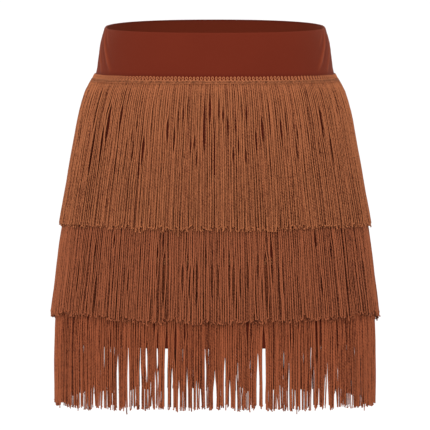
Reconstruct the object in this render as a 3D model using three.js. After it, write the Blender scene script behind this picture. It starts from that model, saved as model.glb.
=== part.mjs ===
// Latin dance skirt: a pull-on mini skirt with a wide stretch waistband, a fitted underskirt and
// three overlapping tiers of hanging fringe. It stands open and filled out, as it does when worn.
// Millimetres, +Z up. The front faces -Y and +X is on the right of the front view.
// The origin is the centre of the waist opening, level with the waistband's top edge at its side seams.
import * as THREE from "three";

// Driving sizes
const SEAM_GAP = 0.3; // between pieces that are sewn edge to edge
const SECTION_POWER = 2.3; // of the superellipse that each level of the skirt follows, where 2 is an ellipse
const BAND_WALL = 2.2; // folded knit over elastic
const BAND_BOTTOM = -55;
const BAND_SMOOTH_BELOW = -48; // the fringe's heading covers the band from here down, so it lies flat
const BAND_FOLD = 1.1; // drop of the rounded fold along the waist edge
const RIM_FRONT_DIP = 3.9; // how far the waist edge lies below the side seams at the centre front
const RIM_BACK_RISE = 6.1; // and above them at the centre back
const SKIRT_WALL = 1.2; // single knit
const SKIRT_HEM = -341;
const BRAID_HEIGHT = 9.5; // the woven heading that each fringe hangs from
const BRAID_GAP = 0.5; // the heading's clearance from the cloth that it is sewn to
const FRINGE_THICKNESS = 1.8; // of the heading and of each lock of fringe
const FRINGE_LENGTH = 155.5; // of a lock below its heading, as all three fringes are cut from one trimming
const LOCKS_PER_TIER = 82;

// Outer face of the waistband and underskirt: half the width, and the depth from the side seams to
// the centre front and centre back, level by level on a general figure.
const BODY_LEVELS = [
  { z: 10, halfWidth: 117, front: 84.5, back: 85.5 },
  { z: 0, halfWidth: 119.8, front: 86, back: 87.5 },
  { z: -16, halfWidth: 124.3, front: 88, back: 90 },
  { z: -34, halfWidth: 126.8, front: 89.5, back: 92.5 },
  { z: -51, halfWidth: 129.8, front: 91, back: 95 },
  { z: -60, halfWidth: 134.5, front: 93.5, back: 98.5 },
  { z: -68, halfWidth: 138, front: 96, back: 101.5 },
  { z: -90, halfWidth: 143.8, front: 100.5, back: 108 },
  { z: -130, halfWidth: 150.8, front: 105.5, back: 117 },
  { z: -173, halfWidth: 157.8, front: 109.5, back: 123.5 },
  { z: -221, halfWidth: 163.3, front: 112.5, back: 126.5 },
  { z: -265, halfWidth: 167.2, front: 114.5, back: 126 },
  { z: -305, halfWidth: 170.3, front: 115.5, back: 124 },
  { z: -341, halfWidth: 171.5, front: 116, back: 122 },
  { z: -420, halfWidth: 171.5, front: 116, back: 120 },
];

// Drag lines of the waistband: each starts near a side seam at the waist and slants down towards the
// centre. Angles are in degrees from the side seam, and the ridge stands proud by its height.
const BAND_CREASES = [
  { topAngle: 13, topZ: -2, bottomAngle: 33, bottomZ: -44, height: 1.2, width: 1.9 },
  { topAngle: 6.5, topZ: -14, bottomAngle: 23, bottomZ: -46, height: 1, width: 1.8 },
];
const CREASE_FADE = 9; // height over which a drag line dies away at each end

// The tiers, top first: where the heading's top edge is sewn, how much shorter the tier hangs in front
// than at its sides and back, and how far the middle of a lock stands out from the cloth below it, at
// shares of the lock's length.
const TIERS = [
  {
    name: "fringe_top",
    sewnAt: -50.5,
    frontLift: 2.5,
    drape: [
      { share: 0, out: 1.4 },
      { share: 0.06, out: 1.9 },
      { share: 0.2, out: 3.0 },
      { share: 0.46, out: 3.5 },
      { share: 0.74, out: 4.2 },
      { share: 1, out: 6.5 },
    ],
  },
  {
    name: "fringe_middle",
    sewnAt: -155,
    frontLift: 8,
    drape: [
      { share: 0, out: 1.4 },
      { share: 0.22, out: 2.1 },
      { share: 0.48, out: 4.4 },
      { share: 0.74, out: 5.7 },
      { share: 1, out: 7.9 },
    ],
  },
  {
    name: "fringe_bottom",
    sewnAt: -243,
    frontLift: 1.5,
    drape: [
      { share: 0, out: 1.4 },
      { share: 0.25, out: 1.8 },
      { share: 0.5, out: 2.9 },
      { share: 0.75, out: 3.1 },
      { share: 1, out: 3.1 },
    ],
  },
];

// Shape of a lock: its share of the pitch at the heading, what it spreads to at mid length and at the
// tip, and how far neighbouring tips may differ in length and drift sideways.
const LOCK = { rootShare: 0.72, bellyShare: 0.8, tipShare: 0.5, unevenLength: 4, drift: 0.9 };

const knitColour = 0x772e1e;
const liningColour = 0x6a2a1c;
const fringeColour = 0x8c5034;

// The body's size at a height, smoothly between the levels of the table.
const ascending = [...BODY_LEVELS].reverse();
const bodySize = new THREE.CubicInterpolant(
  ascending.map((level) => level.z),
  ascending.flatMap((level) => [level.halfWidth, level.front, level.back]),
  3,
);

// A point out from the body's surface. The angle is 0 at the +X side seam and 90 degrees at the centre back.
function bodyPoint(angle, z, out) {
  const [halfWidth, front, back] = bodySize.evaluate(z);
  const depth = Math.sin(angle) < 0 ? front : back;
  const across = Math.cos(angle);
  const along = Math.sin(angle);
  const shape = 2 / SECTION_POWER;
  const bulge = (value, power) => Math.sign(value) * Math.abs(value) ** power;
  const normal = new THREE.Vector3(
    bulge(across, 2 - shape) / halfWidth,
    bulge(along, 2 - shape) / depth,
    0,
  ).normalize();
  return new THREE.Vector3(halfWidth * bulge(across, shape), depth * bulge(along, shape), z)
    .addScaledVector(normal, out);
}

// The horizontal direction along the body's surface at an angle, anticlockwise from above.
function bodyTangent(angle, z) {
  const step = 0.004;
  return bodyPoint(angle + step, z, 0).sub(bodyPoint(angle - step, z, 0)).normalize();
}

// A closed solid through sections that each run along the outer face and back along the inner face.
// The first and last sections are closed by caps.
function loft(sections) {
  const perSection = sections[0].length;
  const last = (sections.length - 1) * perSection;
  const triangles = [];
  const quad = (a, b, c, d) => triangles.push(a, b, c, a, c, d);
  for (let here = 0; here < last; here += perSection) {
    const next = here + perSection;
    for (let p = 0; p < perSection; p++) {
      const q = (p + 1) % perSection;
      quad(here + p, next + p, next + q, here + q);
    }
  }
  for (let p = 0; p < perSection / 2 - 1; p++) {
    const across = perSection - 1 - p;
    quad(p, p + 1, across - 1, across);
    quad(last + p, last + across, last + across - 1, last + p + 1);
  }
  return facing(sections.flat(), triangles);
}

// An indexed geometry whose faces point out.
function facing(corners, triangles) {
  let volume = 0;
  for (let t = 0; t < triangles.length; t += 3) {
    const [a, b, c] = [0, 1, 2].map((k) => corners[triangles[t + k]]);
    volume += a.dot(new THREE.Vector3().crossVectors(b, c));
  }
  const turned = volume < 0 ? [...triangles].reverse() : triangles;
  const geometry = new THREE.BufferGeometry();
  geometry.setAttribute(
    "position",
    new THREE.Float32BufferAttribute(corners.flatMap((corner) => corner.toArray()), 3),
  );
  geometry.setIndex(turned);
  geometry.computeVertexNormals();
  return geometry;
}

// The angles of one panel's columns, from seam to seam, closer together near its side seams.
function panelAngles(isFront, seamColumns, middleColumns, seamSpread) {
  const start = isFront ? -Math.PI : 0;
  const inset = (SEAM_GAP / 2 / BODY_LEVELS[0].front) ** (SECTION_POWER / 2); // half of the gap at a seam
  const from = start + inset;
  const to = start + Math.PI - inset;
  const run = (a, b, count) => Array.from({ length: count }, (_, i) => a + ((b - a) * i) / count);
  return [
    ...run(from, from + seamSpread, seamColumns),
    ...run(from + seamSpread, to - seamSpread, middleColumns),
    ...run(to - seamSpread, to, seamColumns),
    to,
  ];
}

// How far the waistband's drag lines stand out at a point.
function creaseHeight(angle, z) {
  const fromSeam = THREE.MathUtils.radToDeg(Math.asin(Math.min(1, Math.abs(Math.sin(angle)))));
  let height = 0;
  for (const crease of BAND_CREASES) {
    const share = (crease.topZ - z) / (crease.topZ - crease.bottomZ);
    const centre = crease.topAngle + share * (crease.bottomAngle - crease.topAngle);
    const fadeIn = THREE.MathUtils.smoothstep(crease.topZ - z, -2, CREASE_FADE);
    const fadeOut = THREE.MathUtils.smoothstep(z - crease.bottomZ, 0, CREASE_FADE);
    const away = (fromSeam - centre) / crease.width;
    height += crease.height * fadeIn * fadeOut * Math.exp(-away * away);
  }
  return height;
}

// The height of the waist edge at an angle.
function rimHeight(angle) {
  const lift = Math.abs(Math.sin(angle)) ** (2 / SECTION_POWER);
  return Math.sin(angle) < 0 ? -RIM_FRONT_DIP * lift : RIM_BACK_RISE * lift;
}

// One panel of the waistband, with a rounded fold along its top edge.
function waistbandPanel(isFront) {
  const rows = 6;
  const angles = panelAngles(isFront, 19, 12, THREE.MathUtils.degToRad(36)); // closer where the drag lines lie
  return loft(
    angles.map((angle) => {
      const rim = rimHeight(angle);
      const top = rim - BAND_FOLD;
      const heights = Array.from(
        { length: rows },
        (_, row) => top + ((BAND_SMOOTH_BELOW - top) * row) / (rows - 1),
      );
      heights.push(BAND_BOTTOM);
      const outer = heights.map((z) => bodyPoint(angle, z, creaseHeight(angle, z)));
      const inner = heights.map((z) => bodyPoint(angle, z, -BAND_WALL + creaseHeight(angle, z)));
      const fold = [-0.25 * BAND_WALL, -0.75 * BAND_WALL].map((out) => bodyPoint(angle, rim, out));
      return [fold[0], ...outer, ...inner.reverse(), fold[1]];
    }),
  );
}

// One panel of the underskirt, from the waistband's lower edge to the hem.
function underskirtPanel(isFront) {
  const heights = [
    BAND_BOTTOM - SEAM_GAP,
    ...BODY_LEVELS.map((level) => level.z).filter((z) => z < BAND_BOTTOM && z > SKIRT_HEM),
    SKIRT_HEM,
  ];
  return loft(
    panelAngles(isFront, 4, 17, THREE.MathUtils.degToRad(20)).map((angle) => [
      ...heights.map((z) => bodyPoint(angle, z, 0)),
      ...[...heights].reverse().map((z) => bodyPoint(angle, z, -SKIRT_WALL)),
    ]),
  );
}

// A repeatable number from -1 to 1 for a lock of a tier.
function uneven(lock, tier, salt) {
  const value = Math.sin(lock * 12.9898 + tier * 78.233 + salt * 37.719) * 43758.5453;
  return 2 * (value - Math.floor(value)) - 1;
}

// Angles that part the girth at a height into equal lengths.
function evenAngles(z, count) {
  const steps = 1440;
  const lengths = [0];
  for (let s = 1; s <= steps; s++) {
    const a = bodyPoint((2 * Math.PI * (s - 1)) / steps, z, 0);
    const b = bodyPoint((2 * Math.PI * s) / steps, z, 0);
    lengths.push(lengths[s - 1] + a.distanceTo(b));
  }
  return Array.from({ length: count }, (_, i) => {
    const wanted = (lengths[steps] * i) / count;
    const s = lengths.findIndex((length) => length > wanted);
    const share = (wanted - lengths[s - 1]) / (lengths[s] - lengths[s - 1]);
    return (2 * Math.PI * (s - 1 + share)) / steps;
  });
}

// The four corners of a lock where it crosses a level: outer left, outer right, inner right, inner left.
function lockCorners(angle, z, out, width, drift) {
  const along = bodyTangent(angle, z);
  return [
    [-1, 1],
    [1, 1],
    [1, -1],
    [-1, -1],
  ].map(([side, face]) =>
    bodyPoint(angle, z, out + (face * FRINGE_THICKNESS) / 2)
      .addScaledVector(along, drift + (side * width) / 2),
  );
}

// A whole tier: a narrow heading round the skirt, with separate locks that grow out of its lower edge.
function fringeTier(tier, tierIndex) {
  const headingBottom = tier.sewnAt - BRAID_HEIGHT;
  const headingOut = BRAID_GAP + FRINGE_THICKNESS / 2;
  const middle = headingBottom - FRINGE_LENGTH / 2;
  const angles = evenAngles(middle, LOCKS_PER_TIER);
  const corners = [];
  const triangles = [];
  const quad = (a, b, c, d) => triangles.push(a, b, c, a, c, d);
  const pitchAt = (lock, z, out) => {
    const here = bodyPoint(angles[lock], z, out);
    const next = bodyPoint(angles[(lock + 1) % LOCKS_PER_TIER], z, out);
    const previous = bodyPoint(angles[(lock + LOCKS_PER_TIER - 1) % LOCKS_PER_TIER], z, out);
    return Math.min(here.distanceTo(next), here.distanceTo(previous));
  };
  const topRings = [];
  const bottomRings = [];
  for (let lock = 0; lock < LOCKS_PER_TIER; lock++) {
    const angle = angles[lock];
    const width = LOCK.rootShare * pitchAt(lock, headingBottom, headingOut);
    const add = (ring) => corners.push(...ring) - ring.length;
    topRings.push(add(lockCorners(angle, tier.sewnAt, headingOut, width, 0)));
    bottomRings.push(add(lockCorners(angle, headingBottom, headingOut, width, 0)));
    const lift = tier.frontLift * THREE.MathUtils.smoothstep(-Math.sin(angle), 0, 0.35);
    const length = FRINGE_LENGTH - lift + LOCK.unevenLength * uneven(lock, tierIndex, 1);
    const sway = LOCK.drift * uneven(lock, tierIndex, 2);
    let above = bottomRings[lock];
    for (const { share, out } of tier.drape.slice(1)) {
      const z = headingBottom - share * length;
      const belly = THREE.MathUtils.lerp(LOCK.rootShare, LOCK.bellyShare, Math.min(1, share * 2));
      const spread = share < 1 ? belly : LOCK.tipShare;
      const ring = add(
        lockCorners(angle, z, out, spread * pitchAt(lock, z, out), sway * share * share),
      );
      for (let side = 0; side < 4; side++) {
        const other = (side + 1) % 4;
        quad(above + side, ring + side, ring + other, above + other);
      }
      above = ring;
    }
    quad(above, above + 3, above + 2, above + 1);
  }
  for (let lock = 0; lock < LOCKS_PER_TIER; lock++) {
    const next = (lock + 1) % LOCKS_PER_TIER;
    const [top, bottom] = [topRings[lock], bottomRings[lock]];
    const [topNext, bottomNext] = [topRings[next], bottomRings[next]];
    quad(top, bottom, bottom + 1, top + 1);
    quad(top + 3, top + 2, bottom + 2, bottom + 3);
    quad(top, top + 1, top + 2, top + 3);
    quad(top + 1, bottom + 1, bottomNext, topNext);
    quad(top + 2, topNext + 3, bottomNext + 3, bottom + 2);
    quad(top + 1, topNext, topNext + 3, top + 2);
    quad(bottom + 1, bottom + 2, bottomNext + 3, bottomNext);
  }
  return facing(corners, triangles);
}

const knit = new THREE.MeshStandardMaterial({ color: knitColour, roughness: 0.75, metalness: 0 });
const lining = new THREE.MeshStandardMaterial({ color: liningColour, roughness: 0.8, metalness: 0 });
const yarn = new THREE.MeshStandardMaterial({ color: fringeColour, roughness: 0.6, metalness: 0 });

const skirt = new THREE.Group();
function addPiece(name, geometry, material) {
  const mesh = new THREE.Mesh(geometry, material);
  mesh.name = name;
  skirt.add(mesh);
}

for (const [side, isFront] of [["front", true], ["back", false]]) {
  addPiece(`waistband_${side}`, waistbandPanel(isFront), knit);
  addPiece(`underskirt_${side}`, underskirtPanel(isFront), lining);
}
TIERS.forEach((tier, index) => addPiece(tier.name, fringeTier(tier, index), yarn));

export default skirt;
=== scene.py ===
"""Latin dance skirt: the cloth, the trimmings and the studio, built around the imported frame.

The skirt is pulled on. It has a wide waistband of stretch knit, a fitted underskirt and three
overlapping tiers of hanging fringe. Sizes are in millimetres until a mesh is made, +Z is up and the
front faces -Y. An angle round the body is in radians from the side seam at +X, anticlockwise from
above, so the centre back is at a quarter turn and the centre front at minus a quarter turn.
"""

import logging
import math
from dataclasses import dataclass
from enum import Enum
from typing import Callable, Optional, Sequence, Union

import bpy
import numpy as np
from mathutils import Matrix, Vector


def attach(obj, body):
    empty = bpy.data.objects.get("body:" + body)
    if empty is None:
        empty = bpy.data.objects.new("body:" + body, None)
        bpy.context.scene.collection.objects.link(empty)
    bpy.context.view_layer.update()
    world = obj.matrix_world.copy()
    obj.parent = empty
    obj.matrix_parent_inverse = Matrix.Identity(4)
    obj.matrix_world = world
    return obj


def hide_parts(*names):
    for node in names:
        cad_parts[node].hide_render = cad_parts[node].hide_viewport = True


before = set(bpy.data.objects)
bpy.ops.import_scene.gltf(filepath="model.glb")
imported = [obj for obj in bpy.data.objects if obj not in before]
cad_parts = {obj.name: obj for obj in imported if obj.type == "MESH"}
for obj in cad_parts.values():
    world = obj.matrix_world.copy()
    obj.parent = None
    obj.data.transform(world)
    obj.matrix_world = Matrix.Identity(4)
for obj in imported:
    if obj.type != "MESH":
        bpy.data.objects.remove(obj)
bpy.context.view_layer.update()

LOG = logging.getLogger("skirt")
MM = 0.001
TURN = 2 * math.pi
BODY = "root"

Colour = tuple[float, float, float]

# The cloth's sizes and heights, in millimetres

SEAM_GAP = 0.3
BAND_WALL = 2.2
BAND_MIDDLE = -30.0
BAND_BOTTOM = -55.0
RIM_FRONT_DIP = 3.9
RIM_BACK_RISE = 6.1
SKIRT_WALL = 1.2
SKIRT_MIDDLE = -220.0
SKIRT_HEM = -341.0
HEM_FOLD = 16.0

# The fringe's sizes, in millimetres, and a height that no cord reaches

BRAID_HEIGHT = 9.5
FRINGE_LENGTH = 155.5
BELOW_TIPS = -420.0

# The points of a cord's curl, as angles of the curl, and how much lighter it is than its cord: a painted
# highlight where the curled end catches the light

CURL_STEPS = (0.8, 1.6, 2.4)
CURL_HIGHLIGHT = 0.4

# How a cord wanders from side to side: the size of each wave and how fast it runs down the cord

CORD_WAVES = ((0.17, 9), (0.11, 21), (0.06, 38))

# One straight stitch: each point's place along the row and its height above the stitch's middle

STITCH_PITCH = 3.4
STITCH_SHAPE = ((-1.45, -0.7), (-0.9, -0.15), (0.0, 0.0), (0.9, -0.15), (1.45, -0.7))

# How fine the meshes are: the steps of one turn, and the sharpest edge that is shaded smooth

GIRTH_STEPS = 2881
SMOOTH_ANGLE = math.radians(50)

# How the yarns' pattern moves on from cord to cord, so that no two look alike

CORD_SPACING = 3.0
CORD_OFFSET = 7.31
CORD_REPEAT = 2.9


class Side(Enum):
    """The half of the skirt that a piece or a mark belongs to."""

    FRONT = "front"
    BACK = "back"


class Tier(Enum):
    """The three rows of fringe, by the CAD node that each one replaces."""

    TOP = "fringe_top"
    MIDDLE = "fringe_middle"
    BOTTOM = "fringe_bottom"


# The body that the skirt is filled out by


@dataclass(frozen=True)
class Level:
    """The outer size of the cloth at one height, in millimetres.

    Args:
        z: The height above the waist edge at the side seams.
        half_width: From the middle to a side seam.
        front: From the line between the side seams to the centre front.
        back: From the same line to the centre back.
    """

    z: float
    half_width: float
    front: float
    back: float


BODY_LEVELS = (
    Level(-420, 171.5, 116, 120),
    Level(-341, 171.5, 116, 122),
    Level(-305, 170.3, 115.5, 124),
    Level(-265, 167.2, 114.5, 126),
    Level(-221, 163.3, 112.5, 126.5),
    Level(-173, 157.8, 109.5, 123.5),
    Level(-130, 150.8, 105.5, 117),
    Level(-90, 143.8, 100.5, 108),
    Level(-68, 138, 96, 101.5),
    Level(-60, 134.5, 93.5, 98.5),
    Level(-51, 129.8, 91, 95),
    Level(-34, 126.8, 89.5, 92.5),
    Level(-16, 124.3, 88, 90),
    Level(0, 119.8, 86, 87.5),
    Level(10, 117, 84.5, 85.5),
)
BODY_POWER = 2.3


class BodyForm:
    """The hollow form of the worn skirt: a smooth stack of flattened ovals."""

    def __init__(self, levels: Sequence[Level], power: float) -> None:
        """Works out the slope of each size at each level.

        Args:
            levels: The sizes, lowest first.
            power: The power of the superellipse that each level follows, where 2 is an ellipse.
        """
        self.heights = np.array([level.z for level in levels], float)
        self.values = np.array([[level.half_width, level.front, level.back] for level in levels])
        self.power = power
        secants = np.diff(self.values, axis=0) / np.diff(self.heights)[:, None]
        self.slopes = np.zeros_like(self.values)
        self.slopes[1:-1] = (secants[:-1] + secants[1:]) / 2

    def sizes(self, z: np.ndarray) -> np.ndarray:
        """The half width, front depth and back depth at each height, on a cubic curve.

        Args:
            z: The heights.

        Returns:
            An array with one more axis of three sizes.
        """
        clipped = np.clip(z, self.heights[0], self.heights[-1])
        at = np.clip(np.searchsorted(self.heights, clipped) - 1, 0, len(self.heights) - 2)
        step = (self.heights[at + 1] - self.heights[at])[..., None]
        t = (clipped - self.heights[at])[..., None] / step
        return (
            (2 * t**3 - 3 * t**2 + 1) * self.values[at]
            + (t**3 - 2 * t**2 + t) * step * self.slopes[at]
            + (3 * t**2 - 2 * t**3) * self.values[at + 1]
            + (t**3 - t**2) * step * self.slopes[at + 1]
        )

    def point(
        self, angle: np.ndarray, z: np.ndarray, out: np.ndarray, along: Union[float, np.ndarray] = 0.0
    ) -> tuple[np.ndarray, np.ndarray]:
        """Points off the cloth's outer face, and the outward direction at each.

        Args:
            angle: The angles round the body.
            z: The heights.
            out: How far outside the cloth, in millimetres.
            along: How far sideways, anticlockwise from above.

        Returns:
            The points in millimetres and the unit normals.
        """
        angle, z, out, along = np.broadcast_arrays(angle, z, out, along)
        size = self.sizes(z.astype(float))
        cosine, sine = np.cos(angle), np.sin(angle)
        depth = np.where(sine < 0, size[..., 1], size[..., 2])
        share = 2 / self.power
        x = size[..., 0] * np.sign(cosine) * np.abs(cosine) ** share
        y = depth * np.sign(sine) * np.abs(sine) ** share
        normal_x = np.sign(cosine) * np.abs(cosine) ** (2 - share) / size[..., 0]
        normal_y = np.sign(sine) * np.abs(sine) ** (2 - share) / depth
        length = np.hypot(normal_x, normal_y)
        normal_x, normal_y = normal_x / length, normal_y / length
        points = np.stack(
            [x + normal_x * out - normal_y * along, y + normal_y * out + normal_x * along, z], axis=-1
        )
        return points, np.stack([normal_x, normal_y, np.zeros_like(z, float)], axis=-1)

    def girth_table(self, z: float) -> tuple[np.ndarray, np.ndarray]:
        """Measures the length round the body at a height, step by step.

        Args:
            z: The height.

        Returns:
            The angles of one turn and the length to each, from the side seam at +X.
        """
        angles = np.linspace(0, TURN, GIRTH_STEPS)
        points, _ = self.point(angles, np.float64(z), np.float64(0))
        steps = np.linalg.norm(np.diff(points, axis=0), axis=1)
        return angles, np.concatenate([[0.0], np.cumsum(steps)])

    def girth(self, z: float) -> float:
        """The length once round the body at a height."""
        return float(self.girth_table(z)[1][-1])

    def angles_at(self, z: float, lengths: np.ndarray) -> np.ndarray:
        """The angles that lie at these lengths round the body at a height.

        Args:
            z: The height.
            lengths: The lengths, anticlockwise from the side seam at +X.

        Returns:
            The angles, which run on past a whole turn as the lengths do.
        """
        angles, girth = self.girth_table(z)
        turns = np.floor(lengths / girth[-1])
        return np.interp(lengths - turns * girth[-1], girth, angles) + turns * TURN

    def length_at(self, z: float, x: float, side: Side) -> float:
        """The length round the body to where it crosses a distance x from the middle.

        Args:
            z: The height.
            x: The distance to the right of the middle in the front view, negative to the left.
            side: The half of the skirt.

        Returns:
            The length in millimetres, anticlockwise from the side seam at +X.
        """
        share = min(1.0, abs(x) / float(self.sizes(np.float64(z))[0]))
        angle = math.acos(math.copysign(share ** (self.power / 2), x))
        angles, girth = self.girth_table(z)
        return float(np.interp(angle if side is Side.BACK else TURN - angle, angles, girth))


# Meshes


def smoothstep(value: np.ndarray, low: float, high: float) -> np.ndarray:
    """Rises smoothly from 0 at low to 1 at high."""
    t = np.clip((value - low) / (high - low), 0, 1)
    return t * t * (3 - 2 * t)


@dataclass
class Cords:
    """Thin cords of one kind, each a row of points.

    Args:
        points: One row of points for each cord, in millimetres.
        normals: The outward direction of the cloth at each point.
        radii: The thickness of each cord at each point, halved.
        tones: One number from 0, dark, to 1, light, for each point.
        sides: How many faces go round a cord.
        closed: Whether each cord joins up with its own start.
    """

    points: np.ndarray
    normals: np.ndarray
    radii: np.ndarray
    tones: np.ndarray
    sides: int = 4
    closed: bool = False

    def directions(self) -> np.ndarray:
        """The direction of each cord at each of its points.

        Returns:
            One unit vector for each point.
        """
        if self.closed:
            steps = np.roll(self.points, -1, axis=1) - np.roll(self.points, 1, axis=1)
        else:
            steps = np.gradient(self.points, axis=1)
        return steps / np.linalg.norm(steps, axis=-1, keepdims=True)

    def across(self, directions: np.ndarray) -> np.ndarray:
        """A vector square to each direction, which turns as little as it can along a cord.

        Args:
            directions: The unit direction of each cord at each of its points.

        Returns:
            One unit vector for each point.
        """
        flat = self.normals - (self.normals * directions).sum(-1, keepdims=True) * directions
        if not self.closed:
            for step in range(1, flat.shape[1]):
                before, direction = flat[:, step - 1], directions[:, step]
                flat[:, step] = before - (before * direction).sum(-1, keepdims=True) * direction
        return flat / np.linalg.norm(flat, axis=-1, keepdims=True)


class YarnMesh:
    """Gathers bundles of cords and makes them one mesh, with a UV map that runs along each cord."""

    def __init__(self, name: str) -> None:
        """Starts an empty mesh.

        Args:
            name: The name of the piece.
        """
        self.name = name
        self.positions: list[np.ndarray] = []
        self.faces: list[np.ndarray] = []
        self.face_sizes: list[np.ndarray] = []
        self.uvs: list[np.ndarray] = []
        self.tones: list[np.ndarray] = []
        self.count = 0
        self.cords = 0

    def add(self, cords: Cords) -> None:
        """Adds tubes round every cord of a bundle, capped where a cord ends.

        Args:
            cords: The bundle.
        """
        number, steps = cords.radii.shape
        sides = cords.sides
        directions = cords.directions()
        across = cords.across(directions)
        third = np.cross(directions, across)
        turn = np.linspace(0, TURN, sides, endpoint=False)
        ring = np.cos(turn)[:, None] * across[:, :, None] + np.sin(turn)[:, None] * third[:, :, None]
        positions = cords.points[:, :, None] + cords.radii[:, :, None, None] * ring
        index = np.arange(number * steps * sides).reshape(number, steps, sides) + self.count
        lengths = np.linalg.norm(np.diff(cords.points, axis=1), axis=-1)
        starts = (np.arange(number) * CORD_OFFSET % CORD_REPEAT)[:, None]
        run = (starts + np.concatenate([np.zeros((number, 1)), np.cumsum(lengths, axis=1)], axis=1)) * MM
        here, after = index, np.roll(index, -1, axis=1)
        run_here = np.broadcast_to(run[:, :, None], index.shape)
        run_after = np.roll(run_here, -1, axis=1).copy()
        run_after[:, -1] = run_here[:, -1] + 2 * MM
        if not cords.closed:
            here, after = here[:, :-1], after[:, :-1]
            run_here, run_after = run_here[:, :-1], run_after[:, :-1]
        corners = [here, np.roll(here, -1, axis=2), np.roll(after, -1, axis=2), after]
        self.faces.append(np.stack(corners, axis=-1).ravel())
        self.face_sizes.append(np.full(here.size, 4))
        own = (self.cords + np.arange(number)) * CORD_SPACING
        low = np.broadcast_to(own[:, None, None] + np.arange(sides) / sides, here.shape)
        high = low + 1 / sides
        corner_uvs = [(low, run_here), (high, run_here), (high, run_after), (low, run_after)]
        self.uvs.append(np.stack([np.stack(pair, axis=-1) for pair in corner_uvs], axis=-2).reshape(-1, 2))
        if not cords.closed:
            for cap, at in ((index[:, 0, ::-1], run[:, 0]), (index[:, -1], run[:, -1])):
                self.faces.append(cap.ravel())
                self.face_sizes.append(np.full(number, sides))
                around = own[:, None] + np.arange(sides) / sides
                self.uvs.append(np.stack([around.ravel(), np.repeat(at, sides)], axis=-1))
        self.positions.append(positions.reshape(-1, 3) * MM)
        self.tones.append(np.repeat(cords.tones.ravel(), sides))
        self.count += index.size
        self.cords += number

    def make(self) -> bpy.types.Object:
        """Makes the object, smooth shaded, with the tone of each cord as an attribute.

        Returns:
            The new object, at the origin.
        """
        mesh = bpy.data.meshes.new(self.name)
        corners = np.concatenate(self.faces)
        sizes = np.concatenate(self.face_sizes)
        mesh.vertices.add(self.count)
        mesh.vertices.foreach_set("co", np.concatenate(self.positions).ravel())
        mesh.loops.add(len(corners))
        mesh.loops.foreach_set("vertex_index", corners)
        mesh.polygons.add(len(sizes))
        mesh.polygons.foreach_set("loop_start", np.concatenate([[0], np.cumsum(sizes)[:-1]]))
        mesh.update(calc_edges=True)
        mesh.uv_layers.new(name="along_cord").data.foreach_set("uv", np.concatenate(self.uvs).ravel())
        tone = mesh.attributes.new("tone", "FLOAT", "POINT")
        tone.data.foreach_set("value", np.concatenate(self.tones))
        mesh.validate()
        mesh.shade_smooth()
        piece = bpy.data.objects.new(self.name, mesh)
        bpy.context.scene.collection.objects.link(piece)
        return piece


def start_sheet(name: str, columns: int, rows: int) -> bpy.types.Object:
    """A flat grid, ready to be shaped into a panel of cloth.

    Args:
        name: The name of the piece.
        columns: How many faces lie across the panel.
        rows: How many faces lie from one end of it to the other.

    Returns:
        The new object, selected alone and active.
    """
    bpy.ops.object.select_all(action="DESELECT")
    bpy.ops.mesh.primitive_grid_add(x_subdivisions=columns, y_subdivisions=rows, size=1)
    piece = bpy.context.object
    piece.name = name
    piece.data.name = name
    return piece


@dataclass
class Draped:
    """Where the points of a sheet go.

    Args:
        points: The points, in millimetres.
        cut: Each point's place on the flat cloth, in millimetres.
        painted_shading: Painted light and shade, from -1, painted shade in a fold, a trough or a shadow,
            to 1, a painted highlight on a ridge.
    """

    points: np.ndarray
    cut: np.ndarray
    painted_shading: np.ndarray


def shape_sheet(piece: bpy.types.Object, place: Callable[[np.ndarray, np.ndarray], Draped]) -> None:
    """Moves each point of a flat grid to its place, and lays the UV map out in metres.

    Args:
        piece: A grid from start_sheet.
        place: Takes each point's share across and share along.
    """
    mesh = piece.data
    flat = np.empty(len(mesh.vertices) * 3)
    mesh.vertices.foreach_get("co", flat)
    flat = flat.reshape(-1, 3)
    draped = place(flat[:, 0] + 0.5, flat[:, 1] + 0.5)
    mesh.vertices.foreach_set("co", (draped.points * MM).ravel())
    corners = np.empty(len(mesh.loops), int)
    mesh.loops.foreach_get("vertex_index", corners)
    mesh.uv_layers.active.data.foreach_set("uv", (draped.cut[corners] * MM).ravel())
    # The painted light and shade goes on as an attribute, for the finish to read.
    mesh.attributes.new("painted_shading", "FLOAT", "POINT").data.foreach_set("value", draped.painted_shading)
    mesh.update()


def close_sheet(piece: bpy.types.Object) -> None:
    """Merges the edges of a wrapped sheet that meet, and fills the ends that are still open.

    Args:
        piece: The wrapped sheet.
    """
    bpy.ops.object.select_all(action="DESELECT")
    piece.select_set(True)
    bpy.context.view_layer.objects.active = piece
    bpy.ops.object.mode_set(mode="EDIT")
    bpy.ops.mesh.select_all(action="SELECT")
    bpy.ops.mesh.remove_doubles(threshold=0.01 * MM)
    bpy.ops.mesh.select_all(action="SELECT")
    bpy.ops.mesh.fill_holes(sides=0)
    bpy.ops.mesh.select_all(action="SELECT")
    bpy.ops.mesh.normals_make_consistent(inside=False)
    bpy.ops.object.mode_set(mode="OBJECT")
    bpy.ops.object.shade_smooth_by_angle(angle=SMOOTH_ANGLE)


def dress(piece: bpy.types.Object, material: bpy.types.Material, slot: str, *nodes: str) -> None:
    """Gives a piece its finish, its body and the CAD nodes that it stands for.

    Args:
        piece: The finished piece.
        material: Its finish.
        slot: The name of a material slot. Not used.
        nodes: The CAD nodes that it replaces, if any.
    """
    piece.data.materials.clear()
    piece.data.materials.append(material)
    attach(piece, BODY)
    if nodes:
        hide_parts(*nodes)
    triangles = sum(len(face.vertices) - 2 for face in piece.data.polygons)
    LOG.info("%s: %d triangles", piece.name, triangles)


# Shaders


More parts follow.
